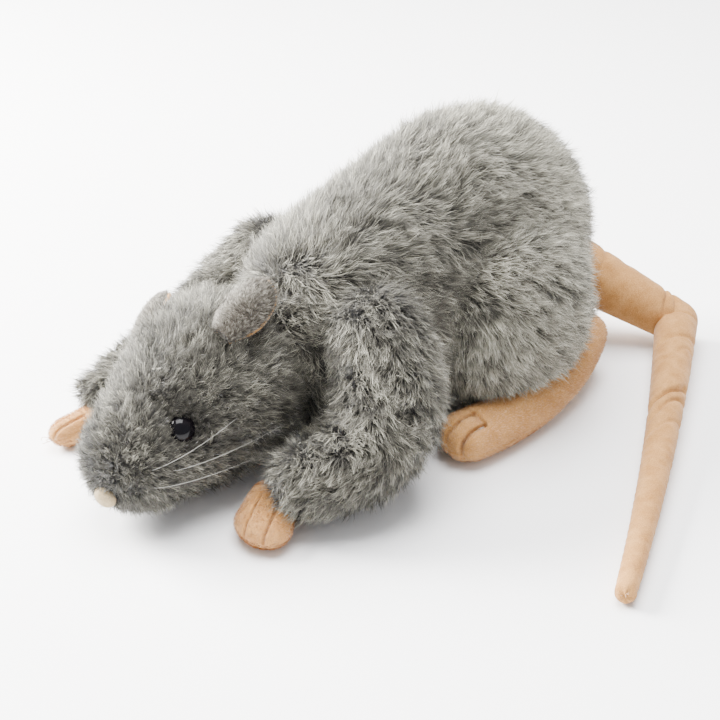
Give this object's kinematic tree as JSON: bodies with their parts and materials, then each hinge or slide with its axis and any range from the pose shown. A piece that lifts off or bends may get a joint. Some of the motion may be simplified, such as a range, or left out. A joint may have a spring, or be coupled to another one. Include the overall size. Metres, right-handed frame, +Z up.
{
  "type": "plush rat",
  "caption": "Soft stuffed rat lying on its belly, with long-pile fur, velour paws, feet and ears, plastic eyes and a long creased velour tail.",
  "frame": {"origin": "centre of the flat underside of the belly, on the surface the rat lies on", "axes": "the rat faces -X and its left side is -Y; +Z is up"},
  "size_m": [0.3594, 0.2898, 0.1508],
  "materials": {
    "fur": "long frosted grey pile, dark at the roots",
    "belly_fur": "flattened grey pile",
    "velour": "short tan velour nap",
    "ear_pile": "short brown-grey pile",
    "stuffing": "loose white polyester fibre",
    "eye": "polished black dome",
    "washer": "moulded locking washer",
    "whisker": "clear-white nylon filament"
  },
  "bodies": {
    "torso": {"body_fur_left": "fur", "body_fur_right": "fur", "belly_panel": "belly_fur", "body_stuffing": "stuffing"},
    "head": {"head_fur_left": "fur", "head_fur_right": "fur", "head_gusset": "fur", "chin_panel": "belly_fur", "head_stuffing": "stuffing", "nose": "velour", "eye_left": "eye", "eye_right": "eye", "eye_washer_left": "washer", "eye_washer_right": "washer", "whiskers_left": "whisker", "whiskers_right": "whisker"},
    "ear_left": {"ear_back_left": "ear_pile", "ear_lining_left": "velour"},
    "ear_right": {"ear_back_right": "ear_pile", "ear_lining_right": "velour"},
    "arm_left": {"arm_fur_left": "fur", "arm_stuffing_left": "stuffing", "paw_top_left": "velour", "paw_sole_left": "velour", "paw_stuffing_left": "stuffing"},
    "arm_right": {"arm_fur_right": "fur", "arm_stuffing_right": "stuffing", "paw_top_right": "velour", "paw_sole_right": "velour", "paw_stuffing_right": "stuffing"},
    "leg_left": {"haunch_fur_left": "fur", "haunch_stuffing_left": "stuffing", "foot_top_left": "velour", "foot_sole_left": "velour", "foot_stuffing_left": "stuffing"},
    "leg_right": {"haunch_fur_right": "fur", "haunch_stuffing_right": "stuffing", "foot_top_right": "velour", "foot_sole_right": "velour", "foot_stuffing_right": "stuffing"},
    "tail_root": {"tail_root_cover": "velour", "tail_root_stuffing": "stuffing"},
    "tail_end": {"tail_end_cover": "velour", "tail_end_stuffing": "stuffing"}
  },
  "joints": [
    {"name": "head_nod", "type": "hinge", "parent": "torso", "child": "head", "pos_m": [-0.07046, 0.00456, 0.04456], "axis": [-0.2588, 0.9659, 0], "range_deg": [0, 12]},
    {"name": "ear_left_fold", "type": "hinge", "parent": "head", "child": "ear_left", "pos_m": [-0.07988, -0.0169, 0.08288], "axis": [0.2847, -0.9094, -0.3033], "range_deg": [0, 45], "stiffness_Nm_per_rad": 0.01},
    {"name": "ear_right_fold", "type": "hinge", "parent": "head", "child": "ear_right", "pos_m": [-0.09133, 0.04297, 0.05488], "axis": [-0.0342, -0.4002, 0.9158], "range_deg": [0, 45], "stiffness_Nm_per_rad": 0.01},
    {"name": "shoulder_left_lift", "type": "hinge", "parent": "torso", "child": "arm_left", "pos_m": [-0.012, -0.032, 0.105], "axis": [-1, 0, 0], "range_deg": [0, 55]},
    {"name": "shoulder_right_lift", "type": "hinge", "parent": "torso", "child": "arm_right", "pos_m": [-0.004, 0.036, 0.104], "axis": [1, 0, 0], "range_deg": [0, 55]},
    {"name": "hip_left_spread", "type": "hinge", "parent": "torso", "child": "leg_left", "pos_m": [0.074, -0.041, 0.112], "axis": [-1, 0, 0], "range_deg": [0, 20]},
    {"name": "hip_right_spread", "type": "hinge", "parent": "torso", "child": "leg_right", "pos_m": [0.074, 0.041, 0.112], "axis": [1, 0, 0], "range_deg": [0, 20]},
    {"name": "tail_swing", "type": "hinge", "parent": "torso", "child": "tail_root", "pos_m": [0.156, -0.003, 0.044], "axis": [0, 0, 1], "range_deg": [-8, 70]},
    {"name": "tail_bend", "type": "hinge", "parent": "tail_root", "child": "tail_end", "pos_m": [0.196, -0.054, 0.014], "axis": [0, 0, 1], "range_deg": [-10, 95]}
  ]
}
